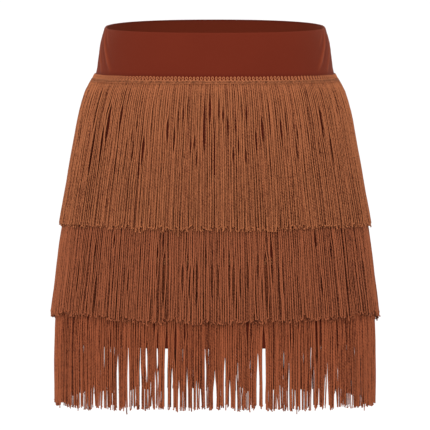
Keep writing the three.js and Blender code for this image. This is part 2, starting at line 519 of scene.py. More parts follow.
class Value:
    """A shader socket that adds a Math node for each operator used on it."""

    def __init__(self, shader: "Shader", socket: bpy.types.NodeSocket) -> None:
        """Wraps a socket.

        Args:
            shader: The node tree that the socket is in.
            socket: The output to wrap.
        """
        self.shader = shader
        self.socket = socket

    def _math(self, operation: str, *values: Union["Value", float]) -> "Value":
        """A Math node on some values."""
        return self.shader.node("ShaderNodeMath", {"operation": operation}, dict(enumerate(values)))

    def __add__(self, other: Union["Value", float]) -> "Value":
        """self + other"""
        return self._math("ADD", self, other)

    __radd__ = __add__

    def __sub__(self, other: Union["Value", float]) -> "Value":
        """self - other"""
        return self._math("SUBTRACT", self, other)

    def __rsub__(self, other: Union["Value", float]) -> "Value":
        """other - self"""
        return self._math("SUBTRACT", other, self)

    def __mul__(self, other: Union["Value", float]) -> "Value":
        """self * other"""
        return self._math("MULTIPLY", self, other)

    __rmul__ = __mul__

    def sine(self) -> "Value":
        """The sine of the value, moved to run from 0 to 1."""
        return self._math("SINE", self) * 0.5 + 0.5

    def zigzag(self, period: float) -> "Value":
        """Rises from 0 to half a period and falls again, over and over."""
        return self._math("PINGPONG", self, period / 2)

    def clamped(self) -> "Value":
        """The value held between 0 and 1."""
        return self.shader.node("ShaderNodeClamp", {}, {"Value": self})


class Shader:
    """A material's node tree."""

    def __init__(self, name: str) -> None:
        """Starts an empty material.

        Args:
            name: The material's name.
        """
        self.material = bpy.data.materials.new(name)
        self.material.use_nodes = True
        self.tree = self.material.node_tree
        self.tree.nodes.clear()

    def node(
        self,
        kind: str,
        settings: Optional[dict] = None,
        inputs: Optional[dict] = None,
        output: Union[int, str] = 0,
    ) -> Value:
        """Adds one node.

        Args:
            kind: The node's type.
            settings: Its properties, which are set first.
            inputs: A value or another node's output for each named or numbered socket.
            output: The socket to give back.

        Returns:
            The chosen output.
        """
        made = self.tree.nodes.new(kind)
        for key, value in (settings or {}).items():
            setattr(made, key, value)
        for key, value in (inputs or {}).items():
            if isinstance(value, Value):
                self.tree.links.new(value.socket, made.inputs[key])
            else:
                made.inputs[key].default_value = value
        return Value(self, made.outputs[output])

    def mix(self, factor: Union[Value, float], first: object, second: object) -> Value:
        """A colour between two colours.

        Args:
            factor: From 0, all of the first, to 1, all of the second.
            first: A colour, or the output of another node.
            second: The other one.

        Returns:
            The mixed colour.
        """
        settings = {"data_type": "RGBA", "clamp_factor": True}
        colours = [c if isinstance(c, Value) else (*c, 1.0) for c in (first, second)]
        return self.node("ShaderNodeMix", settings, {0: factor, 6: colours[0], 7: colours[1]}, 2)

    def noise(self, scale: float, detail: float = 2.0, where: Optional[Value] = None) -> Value:
        """Soft noise on the object's own coordinates, from 0 to 1.

        Args:
            scale: How many lumps lie in a metre.
            detail: How many finer layers lie on them.
            where: Other coordinates, if it doesn't lie on the object's.

        Returns:
            The noise.
        """
        place = where or self.node("ShaderNodeTexCoord", {}, {}, "Object")
        inputs = {"Vector": place, "Scale": scale, "Detail": detail}
        return self.node("ShaderNodeTexNoise", {"noise_dimensions": "3D"}, inputs, 0)

    def grain(self, across: float, along: float, detail: float) -> Value:
        """Noise on the piece's own UV map, which differs from cord to cord.

        Args:
            across: How many lumps lie in one unit of the first coordinate.
            along: How many lie in a metre of the second.
            detail: How many finer layers lie on them.

        Returns:
            The noise, from 0 to 1.
        """
        inputs = {0: self.node("ShaderNodeUVMap"), 1: (across, along, 0.0)}
        scaled = self.node("ShaderNodeVectorMath", {"operation": "MULTIPLY"}, inputs)
        return self.noise(1.0, detail, scaled)

    def uv(self) -> tuple[Value, Value]:
        """The two coordinates of the piece's own UV map, in metres."""
        parts = self.node("ShaderNodeSeparateXYZ", {}, {0: self.node("ShaderNodeUVMap")})
        return parts, Value(self, parts.socket.node.outputs[1])

    def finish(self, constants: dict, changing: dict, height: Value, depth: float) -> bpy.types.Material:
        """Adds the surface itself.

        Args:
            constants: Numbers and colours for the surface's own sockets.
            changing: Links for the sockets that change over the surface.
            height: The relief, from 0 to 1.
            depth: How deep the relief is, in millimetres.

        Returns:
            The finished material.
        """
        bump = self.node("ShaderNodeBump", {}, {"Strength": 1.0, "Distance": depth * MM, "Height": height})
        surface = self.node("ShaderNodeBsdfPrincipled", {}, {**constants, **changing, "Normal": bump})
        self.node_output(surface)
        return self.material

    def node_output(self, surface: Value) -> None:
        """Joins the surface to the material's output."""
        output = self.tree.nodes.new("ShaderNodeOutputMaterial")
        self.tree.links.new(surface.socket, output.inputs["Surface"])


@dataclass(frozen=True)
class KnitFinish:
    """Fine stretch knit: columns of small V stitches, a soft bloom and a little sheen, with painted
    highlights on its ridges and painted shade in its folds.

    Args:
        name: The finish's name.
        colour: Its colour.
        shade: The darker colour of its mottling and between its stitches, and the painted shade in its
            folds, troughs and shadows.
        painted_light: The colour of the painted highlights on its ridges and of the painted light on its
            inner face.
        sheen: How much light its fibre ends catch at a slant.
        wale: The width of a column of stitches, in millimetres.
        course: The height of a row of stitches.
    """

    name: str
    colour: Colour
    shade: Colour
    painted_light: Colour
    sheen: float
    wale: float = 0.85
    course: float = 0.7

    def material(self) -> bpy.types.Material:
        """Makes the material.

        Returns:
            The finished material.
        """
        shader = Shader(self.name)
        across, up = shader.uv()
        column = (across * (TURN / (self.wale * MM))).sine()
        slant = across.zigzag(self.wale * MM) * (self.wale / self.course)
        row = ((up + slant) * (TURN / (self.course * MM))).sine()
        stitch = column * 0.6 + row * 0.4
        bloom = shader.noise(14, 3)
        fluff = shader.noise(1400, 2)
        ground = (bloom * 0.5 + fluff * 0.3 + stitch * 0.25).clamped()
        painted_shading = shader.node("ShaderNodeAttribute", {"attribute_name": "painted_shading"}, {}, "Fac")
        # Painted shade darkens the colour in folds, troughs and shadows; painted light lifts it on ridges
        # and on the inner face.
        colour = shader.mix(ground - (painted_shading * -1).clamped() * 1.3, self.shade, self.colour)
        colour = shader.mix(painted_shading.clamped(), colour, self.painted_light)
        constants = {
            "Roughness": 0.8,
            "Specular IOR Level": 0.06,
            "Sheen Weight": self.sheen,
            "Sheen Roughness": 0.5,
            "Sheen Tint": (0.85, 0.3, 0.17, 1.0),
        }
        return shader.finish(constants, {"Base Color": colour}, stitch + fluff * 0.5, 0.12)


@dataclass(frozen=True)
class YarnFinish:
    """Twisted rayon yarn: plies that wind round the cord, lighter and darker from cord to cord, with a
    painted highlight down each cord's outward side and painted shade on its flanks.

    Args:
        name: The finish's name.
        light: The colour of the lightest cords, and of the painted highlight down each cord's outward
            side.
        dark: The colour of the darkest, which also serves as painted shade on the cords' flanks and in the
            fringe's inner rows.
        pitch: The length of one turn of the twist, in millimetres.
        gloss: The roughness of the yarn.
    """

    name: str
    light: Colour
    dark: Colour
    pitch: float
    gloss: float = 0.5

    def material(self) -> bpy.types.Material:
        """Makes the material.

        Returns:
            The finished material.
        """
        shader = Shader(self.name)
        around, along = shader.uv()
        ply = (around * TURN + along * (TURN / (self.pitch * MM))).sine()
        # Painted highlight down the outward side of each cord, with painted shade on its flanks.
        painted_lit_side = (around * TURN + math.pi / 2).sine()
        tone = shader.node("ShaderNodeAttribute", {"attribute_name": "tone"}, {}, "Fac")
        patch = shader.noise(22, 2)
        streak = shader.grain(0.37, 110, 1)
        fibre = shader.grain(1.3, 520, 1)
        share = tone * 0.8 + patch * 0.16 + ply * 0.25 + painted_lit_side * 0.5 + streak * 1.0 + fibre * 1.7 - 1.7
        colour = shader.mix(share.clamped(), self.dark, self.light)
        constants = {
            "Roughness": self.gloss,
            "Specular IOR Level": 0.05,
            "Sheen Weight": 0.08,
            "Sheen Roughness": 0.4,
            "Sheen Tint": (1.0, 0.36, 0.15, 1.0),
        }
        return shader.finish(constants, {"Base Color": colour}, ply + fibre * 0.3, 0.25)


@dataclass(frozen=True)
class FloorFinish:
    """Plain pale studio floor.

    Args:
        name: The finish's name.
        colour: Its colour.
    """

    name: str = "studio_floor"
    colour: Colour = (0.93, 0.93, 0.93)

    def material(self) -> bpy.types.Material:
        """Makes the material.

        Returns:
            The finished material.
        """
        shader = Shader(self.name)
        grain = shader.noise(3, 2)
        constants = {"Base Color": (*self.colour, 1.0), "Roughness": 0.9, "Specular IOR Level": 0.1}
        return shader.finish(constants, {}, grain, 0.05)


# Cloth


@dataclass(frozen=True)
class Crease:
    """A soft ridge in the waistband with a trough along its inner side.

    Args:
        seam: The side seam that it starts near, 1 for +X and -1 for -X.
        side: The panel that it lies in.
        top: Where it starts: the length from the seam and the height, in millimetres.
        bottom: Where it ends, in the same way.
        height: How far it stands out.
        width: Half the width of the ridge.
    """

    seam: int
    side: Side
    top: tuple[float, float]
    bottom: tuple[float, float]
    height: float
    width: float

    def profile(self, from_seam: np.ndarray, z: np.ndarray) -> np.ndarray:
        """The shape of the crease, 1 along its ridge and below 0 in its trough.

        Args:
            from_seam: The length from the crease's own seam.
            z: The height.

        Returns:
            The share of the crease's height at each point.
        """
        share = (self.top[1] - z) / (self.top[1] - self.bottom[1])
        bow = 0.9 * np.sin(math.pi * np.clip(share, 0, 1))
        centre = self.top[0] + share * (self.bottom[0] - self.top[0]) - bow
        fade = smoothstep(share, -0.08, 0.3) * smoothstep(-share, -1.1, -0.6)
        away = (from_seam - centre) / self.width
        return fade * (np.exp(-(away**2)) - 0.5 * np.exp(-((away + 1.8) ** 2)))


WAISTBAND_CREASES = (
    Crease(-1, Side.FRONT, (24, 2), (57, -50), 1.2, 2.7),
    Crease(1, Side.FRONT, (24, 2), (56, -48), 1.15, 2.8),
    Crease(-1, Side.FRONT, (13, -10), (40, -53), 0.95, 3.0),
    Crease(1, Side.FRONT, (12, -8), (41, -52), 1.0, 2.9),
    Crease(-1, Side.FRONT, (33, -2), (50, -22), 0.5, 2.2),
    Crease(1, Side.FRONT, (34, -3), (49, -20), 0.45, 2.3),
    Crease(-1, Side.BACK, (14, 2), (38, -50), 0.75, 3.8),
    Crease(1, Side.BACK, (22, 2), (52, -44), 0.8, 3.6),
    Crease(-1, Side.BACK, (33, -12), (60, -53), 0.45, 4.4),
    Crease(1, Side.BACK, (8, -16), (27, -53), 0.6, 3.4),
    Crease(1, Side.BACK, (70, -6), (60, -30), 0.3, 4.0),
)


@dataclass
class Waistband:
    """One panel of the waistband: stretch knit folded over elastic along the waist edge.

    Args:
        form: The body that it lies on.
        side: The half of the skirt.
        finish: Its cloth.
        inset: How far the ends stop short of the side seam.
        columns: Faces from seam to seam.
        rows: Faces round the section.
        crowding: How much closer the faces lie near the seams than in the middle.
    """

    form: BodyForm
    side: Side
    finish: KnitFinish
    inset: float = 0.08
    columns: int = 190
    rows: int = 64
    crowding: float = 0.085

    def place(self, across: np.ndarray, around: np.ndarray) -> Draped:
        """Where each point of the flat grid goes.

        Args:
            across: The share of the way from seam to seam.
            around: The share of the way up the outside, over the fold, down the inside and back.

        Returns:
            The draped points.
        """
        half = self.form.girth(BAND_MIDDLE) / 2
        start = half if self.side is Side.FRONT else 0.0
        spread = across - self.crowding * np.sin(TURN * across)
        run = self.inset + spread * (half - 2 * self.inset)
        angle = self.form.angles_at(BAND_MIDDLE, start + run)
        lift = np.abs(np.sin(angle)) ** (2 / self.form.power)
        rim = np.where(np.sin(angle) < 0, -RIM_FRONT_DIP * lift, RIM_BACK_RISE * lift)
        fold = BAND_WALL / 2
        wall = rim - fold - BAND_BOTTOM
        arc = math.pi * fold
        total = 2 * wall + arc + BAND_WALL
        travel = around * total
        turn = np.clip((travel - wall) / arc, 0, 1) * math.pi
        z = np.where(travel < wall, BAND_BOTTOM + travel, rim - fold + fold * np.sin(turn))
        z = np.where(travel > wall + arc, rim - fold - (travel - wall - arc), z)
        z = np.maximum(z, BAND_BOTTOM)
        under = np.clip((travel - 2 * wall - arc) / BAND_WALL, 0, 1)
        out = np.where(travel < wall + arc, -fold + fold * np.cos(turn), -BAND_WALL * (1 - under))
        outer = smoothstep(out, -BAND_WALL, 0.0)
        from_plus = run if self.side is Side.BACK else half - run
        # Painted light: the band's inner face is a little lighter.
        painted_shading = 0.08 * (1 - outer)
        for crease in WAISTBAND_CREASES:
            if crease.side is self.side:
                from_seam = from_plus if crease.seam > 0 else half - from_plus
                ridge = crease.profile(from_seam, z)
                out = out + crease.height * ridge
                # Painted highlight along each crease's ridge, and painted shade in its trough.
                painted_shading = painted_shading + 0.42 * crease.height * ridge * outer
        # Painted shadow along the band's lower edge, above and behind the heading's loops.
        painted_shading = painted_shading - outer * smoothstep(-z, 47.5, 50.5)
        # Painted shade along the back panel's folded top edge.
        if self.side is Side.BACK:
            painted_shading = painted_shading - smoothstep(z - rim, -1.6, -0.5)
        to_seam = np.minimum(run, half - run)
        pucker = 0.16 * np.sin(z * TURN / 7.5) * np.exp(-((to_seam / 3.5) ** 2))
        out = out - outer * (0.75 * np.exp(-((to_seam / 0.9) ** 2)) + pucker)
        slack = 0.12 * np.sin(run / 23 + z / 17) * np.sin(run / 9.7 - z / 13 + 1.3)
        points, _ = self.form.point(angle, z, out + slack * smoothstep(-z, 2, 14))
        return Draped(points, np.stack([run, travel], axis=-1), np.clip(painted_shading, -1, 1))

    def build(self) -> bpy.types.Object:
        """Makes the panel.

        Returns:
            The finished piece.
        """
        name = f"waistband_{self.side.value}"
        piece = start_sheet(f"{name}_cloth", self.columns, self.rows)
        shape_sheet(piece, self.place)
        close_sheet(piece)
        dress(piece, self.finish.material(), "waistband", name)
        _, girth = self.form.girth_table(BAND_MIDDLE)
        return piece


@dataclass
class Underskirt:
    """One panel of the fitted underskirt, from the waistband's lower edge to the turned hem.

    Args:
        form: The body that it lies on.
        side: The half of the skirt.
        finish: Its cloth.
        columns: Faces from seam to seam.
        rows: Faces from the waistband to the hem.
        hem: The height of the turned hem.
        crowding: How much closer the faces lie near the seams than in the middle.
    """

    form: BodyForm
    side: Side
    finish: KnitFinish
    columns: int = 120
    rows: int = 72
    hem: float = HEM_FOLD
    crowding: float = 0.08

    def place(self, across: np.ndarray, down: np.ndarray) -> Draped:
        """Where each point of the flat grid goes, on the cloth's outer face.

        Args:
            across: The share of the way from seam to seam.
            down: The share of the way from the hem up to the waistband.

        Returns:
            The draped points.
        """
        start = math.pi if self.side is Side.FRONT else 0.0
        inset = 0.0006
        spread = across - self.crowding * np.sin(TURN * across)
        angle = start + inset + spread * (math.pi - 2 * inset)
        top = BAND_BOTTOM - SEAM_GAP
        z = SKIRT_HEM + down * (top - SKIRT_HEM)
        girth = self.form.girth(SKIRT_MIDDLE) / 2
        run = spread * girth
        to_seam = np.minimum(run, girth - run)
        ripple = 0.35 * np.sin(run / 31 + 0.8) * np.sin(run / 13.7 - z / 60) * smoothstep(-z, 250, 341)
        groove = 0.35 * np.exp(-((to_seam / 1.4) ** 2))
        line = 0.25 * np.exp(-(((z - SKIRT_HEM - self.hem) / 1.5) ** 2))
        points, _ = self.form.point(angle, z, -np.abs(ripple) - groove - line)
        # Painted shade along the groove at the top of the turned hem.
        return Draped(points, np.stack([run, z - SKIRT_HEM], axis=-1), -line * 2)

    def build(self) -> bpy.types.Object:
        """Makes the panel.

        Returns:
            The finished piece.
        """
        name = f"underskirt_{self.side.value}"
        piece = start_sheet(f"{name}_cloth", self.columns, self.rows)
        shape_sheet(piece, self.place)
        bpy.ops.object.mode_set(mode="EDIT")
        bpy.ops.mesh.select_all(action="SELECT")
        bpy.ops.mesh.normals_make_consistent(inside=False)
        bpy.ops.object.mode_set(mode="OBJECT")
        self.face_outwards(piece)
        solid = piece.modifiers.new("cloth_thickness", "SOLIDIFY")
        solid.thickness = SKIRT_WALL * MM
        solid.offset = -1
        bpy.ops.object.modifier_apply(modifier=solid.name)
        bpy.ops.object.shade_smooth_by_angle(angle=SMOOTH_ANGLE)
        dress(piece, self.finish.material(), "underskirt", name)
        girth = self.form.girth(SKIRT_HEM) / 2
        return piece

    def face_outwards(self, piece: bpy.types.Object) -> None:
        """Turns the open sheet over if its faces point at the body.

        Args:
            piece: The sheet, before it has a wall.
        """
        face = piece.data.polygons[len(piece.data.polygons) // 2]
        outward = Vector((face.center.x, face.center.y, 0))
        if face.normal.dot(outward) < 0:
            piece.data.flip_normals()


# Trimmings


@dataclass(frozen=True)
class DrapeStep:
    """How far the middle of a cord hangs off the cloth, at a share of its length.

    Args:
        share: The share of the length, 0 at the root.
        out: The distance in millimetres.
    """

    share: float
    out: float


@dataclass(frozen=True)
class Parting:
    """A slit where neighbouring cords hang apart.

    Args:
        x: Its place right of the middle of the front view, in millimetres. Negative is left.
        top: The height where it opens.
        bottom: The height where it closes. Below the tips it stays open.
        width: How wide it is.
        side: The half of the skirt.
    """

    x: float
    top: float
    bottom: float
    width: float
    side: Side = Side.FRONT


@dataclass(frozen=True)
class Row:
    """One row of cords in a tier.

    Args:
        pitch: The length from one cord to the next, in millimetres.
        lift: How far the row lies outside the tier's drape.
        radius: Half a cord's thickness.
        tone: The middle of the cords' tones.
        vary: How much the tone differs from cord to cord.
        shift: How far the row is moved along, as a share of its pitch.
        steps: How many points a cord has between its root and its curl.
    """

    pitch: float
    lift: float
    radius: float
    tone: float
    vary: float = 0.3
    shift: float = 0.0
    steps: int = 14


def encircle(
    form: BodyForm,
    level: float,
    along: np.ndarray,
    z: np.ndarray,
    out: np.ndarray,
    radius: float,
    tone: float,
    sides: int = 5,
) -> Cords:
    """A cord that runs right round the skirt.

    Args:
        form: The body that it lies on.
        level: The height at which the length round the skirt is measured.
        along: The length round the skirt at each point.
        z: The height at each point.
        out: How far outside the cloth each point lies.
        radius: Half the cord's thickness.
        tone: Its tone.
        sides: How many faces go round it.

    Returns:
        The closed cord.
    """
    points, normals = form.point(form.angles_at(level, along), z, out)
    tones = tone + 0.22 * np.sin(along * 0.9) * np.sin(along * 0.23)
    return Cords(points[None], normals[None], np.full((1, len(along)), radius), tones[None], sides, True)


def stitch_row(form: BodyForm, level: float, z: float, out: float, radius: float) -> Cords:
    """A row of straight stitches right round the skirt, each dipping into the cloth at its ends.

    Args:
        form: The body that it lies on.
        level: The height at which the length round the skirt is measured.
        z: The height of the row.
        out: How far outside the cloth the middle of a stitch lies.
        radius: Half the thread's thickness.

    Returns:
        The stitches.
    """
    girth = form.girth(level)
    count = round(girth / STITCH_PITCH)
    along = np.arange(count) / count * girth
    place, rise = np.array(STITCH_SHAPE).T
    size = (count, len(STITCH_SHAPE))
    angles = form.angles_at(level, (along[:, None] + place).ravel()).reshape(size)
    points, normals = form.point(angles, np.float64(z), out + rise)
    return Cords(points, normals, np.full(size, radius), np.full(size, 0.5))


@dataclass
class Heading:
    """The braided heading of one tier: a woven strip with a looped edge, a plait and a line of stitches.

    Args:
        form: The body that it lies on.
        top: The height of the looped edge.
        yarn: The finish of the strip and its cords.
        thread: The finish of the sewing thread.
        tier: The tier that it carries.
        pitch: The length of one loop and of one crossing of the plait.
        loop: Half the height of a loop.
        plait: How far the middle of the plait lies below the top.
        bead: How far the beaded cord lies below the top.
        weave: The distance from one yarn of the strip to the next.
    """

    form: BodyForm
    top: float
    yarn: YarnFinish
    thread: YarnFinish
    tier: Tier
    pitch: float = 4.0
    loop: float = 2.2
    plait: float = 6.1
    bead: float = 7.6
    weave: float = 1.25

    @property
    def level(self) -> float:
        """The height of the strip's middle, where lengths round the skirt are measured."""
        return self.top - BRAID_HEIGHT / 2

    def build(self) -> bpy.types.Object:
        """Makes the strip and its cords as one piece.

        Returns:
            The finished piece.
        """
        girth = self.form.girth(self.level)
        loops = round(girth / self.pitch)
        pitch = girth / loops
        mesh = YarnMesh(f"{self.tier.value}_heading")
        phase = np.arange(loops * 10) / 10 * TURN
        along = phase / TURN * pitch
        lean = 1 + 0.12 * np.sin(along / 9.1) * np.sin(along / 2.3)
        looped = along - 0.49 * pitch * lean * np.sin(phase)
        edge = self.top - 2.75 + (self.loop + 0.15 * np.sin(along / 5.7)) * np.cos(phase)
        mesh.add(encircle(self.form, self.level, looped, edge, 1.05 + 0.28 * np.sin(phase), 0.46, 1.3))
        wave = np.arange(loops * 6) / 6 * TURN
        for turn, tone in ((0.0, 0.42), (math.pi, 0.25)):
            height = self.top - self.plait + 0.75 * np.sin(wave + turn)
            over = 1.3 + 0.25 * np.cos(wave + turn)
            mesh.add(encircle(self.form, self.level, wave / TURN * pitch, height, over, 0.48, tone, 4))
        beads = self.top - self.bead + 0.22 * np.sin(wave * 2)
        over = 1.55 + 0.2 * np.cos(wave * 2)
        mesh.add(encircle(self.form, self.level, wave / TURN * pitch, beads, over, 0.4, 0.6, 4))
        self.add_strip(mesh, girth)
        piece = mesh.make()
        dress(piece, self.yarn.material(), "fringe")
        self.sew()
        return piece

    def add_strip(self, mesh: YarnMesh, girth: float) -> None:
        """Adds the woven strip as vertical yarns that lie side by side.

        Args:
            mesh: The mesh that they go into.
            girth: The length of the strip.
        """
        count = round(girth / self.weave)
        along = np.arange(count) / count * girth
        angles = self.form.angles_at(self.level, along)[:, None]
        heights = self.top - np.array([4.9, 7.9, 8.5, BRAID_HEIGHT])[None]
        points, normals = self.form.point(angles, heights, np.array([0.95, 0.95, 0.6, 0.9])[None])
        # The strip's low tones are painted shade behind the plait and the beaded cord.
        tones = np.repeat(0.12 * np.sin(np.arange(count) * 2.1)[:, None] ** 2, 4, axis=1)
        mesh.add(Cords(points, normals, np.full((count, 4), 0.62), tones))

    def sew(self) -> bpy.types.Object:
        """Makes the stitches that hold the heading to the cloth, on its face and inside the skirt.

        Returns:
            The finished piece.
        """
        mesh = YarnMesh(f"{self.tier.value}_stitching")
        mesh.add(stitch_row(self.form, self.level, self.top - 8.2, 1.65, 0.32))
        inside = -BAND_WALL - 0.05 if self.tier is Tier.TOP else -SKIRT_WALL - 0.3
        mesh.add(stitch_row(self.form, self.level, self.top - 7.2, inside, 0.26))
        piece = mesh.make()
        dress(piece, self.thread.material(), "fringe")
        return piece


@dataclass
class Sewing:
    """The seams of the cloth: closed down both sides, overlocked inside, twin stitched at the hem.

    Args:
        form: The body that they follow.
        thread: The finish of the thread.
        stitch: The height of one overlock stitch.
        half: Half the width of an overlocked edge.
        hem: The height of the turned hem.
        zigzag: The length of one zigzag round the inside.
        closing: How many points the thread between two panels has.
    """

    form: BodyForm
    thread: YarnFinish
    stitch: float = 1.3
    half: float = 1.9
    hem: float = HEM_FOLD
    zigzag: float = 3.2
    closing: int = 90

    def inside(self, z: np.ndarray) -> np.ndarray:
        """How far outside the outer face, below 0 as it is inside, thread lies on the inner face."""
        return -SKIRT_WALL - 0.6 - 0.65 * smoothstep(z, BAND_BOTTOM - 1, BAND_BOTTOM + 1)

    def side_seam(self, mesh: YarnMesh, angle: float) -> None:
        """Adds one side seam.

        Args:
            mesh: The mesh that the cords go into.
            angle: Where the seam lies round the body.
        """
        z = np.arange(-3.0, SKIRT_HEM + 1, -self.stitch)
        swing = self.half * (-1.0) ** np.arange(len(z))
        lines = ((self.inside(z), swing, 0.24), (self.inside(z) - 0.1, 0.75 * self.half + 0 * z, 0.2))
        size = (1, len(z))
        for out, along, radius in lines:
            points, normals = self.form.point(np.float64(angle), z, out, along)
            mesh.add(Cords(points[None], normals[None], np.full(size, radius), np.full(size, 0.5)))
        closings = ((-0.9, BAND_BOTTOM + 0.1, -1.2), (BAND_BOTTOM - 0.6, SKIRT_HEM + 0.4, -0.75))
        size = (1, self.closing)
        for top, bottom, out in closings:
            z = np.linspace(top, bottom, self.closing)
            points, normals = self.form.point(np.float64(angle), z, out)
            mesh.add(Cords(points[None], normals[None], np.full(size, 0.38), np.full(size, 0.4)))

    def ring_seam(self, mesh: YarnMesh, z: float, half: float, radius: float) -> None:
        """Adds a zigzag right round the inside.

        Args:
            mesh: The mesh that the cord goes into.
            z: The height of its middle.
            half: Half its width.
            radius: Half the thread's thickness.
        """
        girth = self.form.girth(z)
        count = 2 * round(girth / self.zigzag)
        along = np.arange(count) / count * girth
        heights = z + half * (-1.0) ** np.arange(count)
        mesh.add(encircle(self.form, z, along, heights, self.inside(heights), radius, 0.5, 4))

    def build(self) -> bpy.types.Object:
        """Makes every seam as one piece.

        Returns:
            The finished piece.
        """
        mesh = YarnMesh("seam_stitching")
        for angle in (0.0, math.pi):
            self.side_seam(mesh, angle)
        self.ring_seam(mesh, BAND_BOTTOM - SEAM_GAP / 2, self.half, 0.24)
        self.ring_seam(mesh, SKIRT_HEM + self.hem - 1.6, 1.6, 0.22)
        for drop in (0.0, 3.2):
            mesh.add(stitch_row(self.form, SKIRT_HEM, SKIRT_HEM + self.hem - drop, 0.12, 0.24))
        piece = mesh.make()
        dress(piece, self.thread.material(), "underskirt")
        return piece


@dataclass(frozen=True)
class Hang:
    """How one tier hangs: its lift in front, its chance slits and the tones of its cords.

    Args:
        front_lift: How much shorter the tier hangs in front than at its sides and back.
        lift_reach: How soon it has lifted: small for near the side seams, 1 for the centre front.
        centre_drop: The share of the lift that is lost again at the centre front.
        spread: How wide the slits are that stay open down to the tips, or 0 for none.
        hook: How strongly the ends curl.
        slit_zone: How far down the cords a chance slit can start, at the least and at the most.
        slit_width: Half the usual width of a chance slit.
        even: How far the cords' tones draw together below the middle of the tier.
        even_tone: The tone that they draw together to.
        painted_shade_above: The height above which the tier above covers it, and its tones are darker
            there as painted shade.
    """

    front_lift: float
    lift_reach: float = 0.35
    centre_drop: float = 0.3
    spread: float = 0.0
    hook: float = 1.0
    slit_zone: tuple[float, float] = (2.0, 118.0)
    slit_width: float = 0.42
    even: float = 0.0
    even_tone: float = 0.66
    painted_shade_above: float = 0.0


@dataclass
class Fringe:
    """One tier of hanging cords.

    Args:
        form: The body that it hangs round.
        tier: The CAD node that it replaces.
        heading: The height of the heading's top edge.
        drape: How the cords stand off the cloth.
        rows: The rows of cords, outermost first.
        partings: The slits that are placed one by one.
        finish: The yarn.
        seed: Fixes the uneven hang.
        hang: How the tier hangs.
    """

    form: BodyForm
    tier: Tier
    heading: float
    drape: tuple[DrapeStep, ...]
    rows: tuple[Row, ...]
    partings: tuple[Parting, ...]
    finish: YarnFinish
    seed: int
    hang: Hang

    def __post_init__(self) -> None:
        """Works out the heights that the tier spans and every slit in it."""
        self.random = np.random.default_rng(self.seed)
        self.start = self.heading - BRAID_HEIGHT
        self.middle = self.start - FRINGE_LENGTH / 2
        self.near_tips = self.start - FRINGE_LENGTH + 12
        self.girth = self.form.girth(self.middle)
        self.slits = self.all_slits()

    def chance_slits(self) -> list[tuple[float, float, float, float]]:
        """The small slits that come by chance.

        Returns:
            The place, top, bottom and width of each.
        """
        made = []
        at = 0.0
        while at < self.girth:
            top = self.start - self.random.uniform(*self.hang.slit_zone)
            width = min(3.0, self.random.gamma(2.0, self.hang.slit_width))
            made.append((at, top, top - self.random.uniform(20, 60), width))
            at += self.random.uniform(2.8, 8.5)
        return made

    def tip_slits(self) -> list[tuple[float, float, float, float]]:
        """The slits that stay open down to the tips, in the back where they are in the front.

        Returns:
            The place, top, bottom and width of each.
        """
        made = []
        reach = self.form.values[:, 0].max() * 0.74
        x = -reach
        while x < reach:
            top = self.random.uniform(-392, -352) - 14 * (x / reach) ** 2
            width = self.hang.spread * (0.1 + self.random.gamma(2.0, 0.34))
            front = self.form.length_at(self.middle, x, Side.FRONT)
            back = self.form.length_at(self.middle, x * BACK_SCALE, Side.BACK)
            made.append((front, top, BELOW_TIPS, width))
            made.append((back, top - 8, BELOW_TIPS, 1.5 * width + 1.6))
            x += self.random.uniform(6.0, 16.0)
        return made

    def all_slits(self) -> np.ndarray:
        """The placed slits and the small chance ones between them.

        Returns:
            Rows of place round the skirt, top, bottom and width, in order of place.
        """
        placed = [
            (self.form.length_at(self.middle, p.x, p.side), p.top, p.bottom, p.width)
            for p in self.partings
        ]
        made = self.chance_slits() + (self.tip_slits() if self.hang.spread else [])
        far = [slit for slit in made if all(abs(slit[0] - other[0]) > 2.2 for other in placed)]
        return np.array(sorted(placed + far))

    def from_slits(self, places: np.ndarray) -> np.ndarray:
        """How far each place lies from each slit, the shorter way round the skirt."""
        return (places[:, None] - self.slits[:, 0] + self.girth / 2) % self.girth - self.girth / 2

    def beside_slits(self, places: np.ndarray) -> np.ndarray:
        """How much each cord, lying at the edge of a slit that is open at the tips, has been shortened by
        wear.

        Args:
            places: The cords' places round the skirt.

        Returns:
            The length that each one lacks.
        """
        _, _, bottom, width = self.slits.T
        near = np.exp(-np.abs(self.from_slits(places)) / 2.2)
        return np.clip((near * np.where(bottom < self.near_tips, width, 0.0)).sum(axis=1), 0, 2.4)

    def opened(self, places: np.ndarray, z: float) -> np.ndarray:
        """How far the slits push cords sideways at a height.

        Args:
            places: The cords' places round the skirt.
            z: The height.

        Returns:
            The sideways distance for each cord.
        """
        _, top, bottom, width = self.slits.T
        closes = bottom > self.near_tips
        rise = np.where(closes, smoothstep(top - z, 0, 10), smoothstep(top - z, 0, 34))
        fall = np.where(closes, smoothstep(z - bottom, 0, 14), 1.0)
        away = self.from_slits(places)
        push = np.where(away < 0, -1.0, 1.0) * np.exp(-np.abs(away) / 2.6)
        flare = 0.75 + 0.5 * smoothstep(self.start - z, 0, FRINGE_LENGTH)
        return (push * (0.5 * width * rise * fall * np.where(closes, 1.0, flare))).sum(axis=1)

    def lengths(self, places: np.ndarray, angles: np.ndarray) -> np.ndarray:
        """How long each cord hangs: shorter in front, and uneven from cord to cord.

        Args:
            places: The cords' places round the skirt.
            angles: The same places as angles.

        Returns:
            The lengths in millimetres.
        """
        rng, hang, count = self.random, self.hang, len(places)
        uneven = rng.normal(0, 1.9, count) + 0.9 * np.sin(places / 17 + self.seed)
        uneven = np.clip(uneven + 0.8 * np.sin(places / 5.3), -4.5, 2.6)
        frontward = -np.sin(angles)
        lift = hang.front_lift * smoothstep(frontward, -hang.lift_reach, hang.lift_reach)
        lift = lift * (1 - hang.centre_drop * smoothstep(frontward, 0.75, 0.98))
        even = FRINGE_LENGTH + 1.5 - lift
        long_ones = (rng.random(count) < 0.02) * rng.uniform(1.5, 5.0, count)
        return even + uneven - self.beside_slits(places) + long_ones

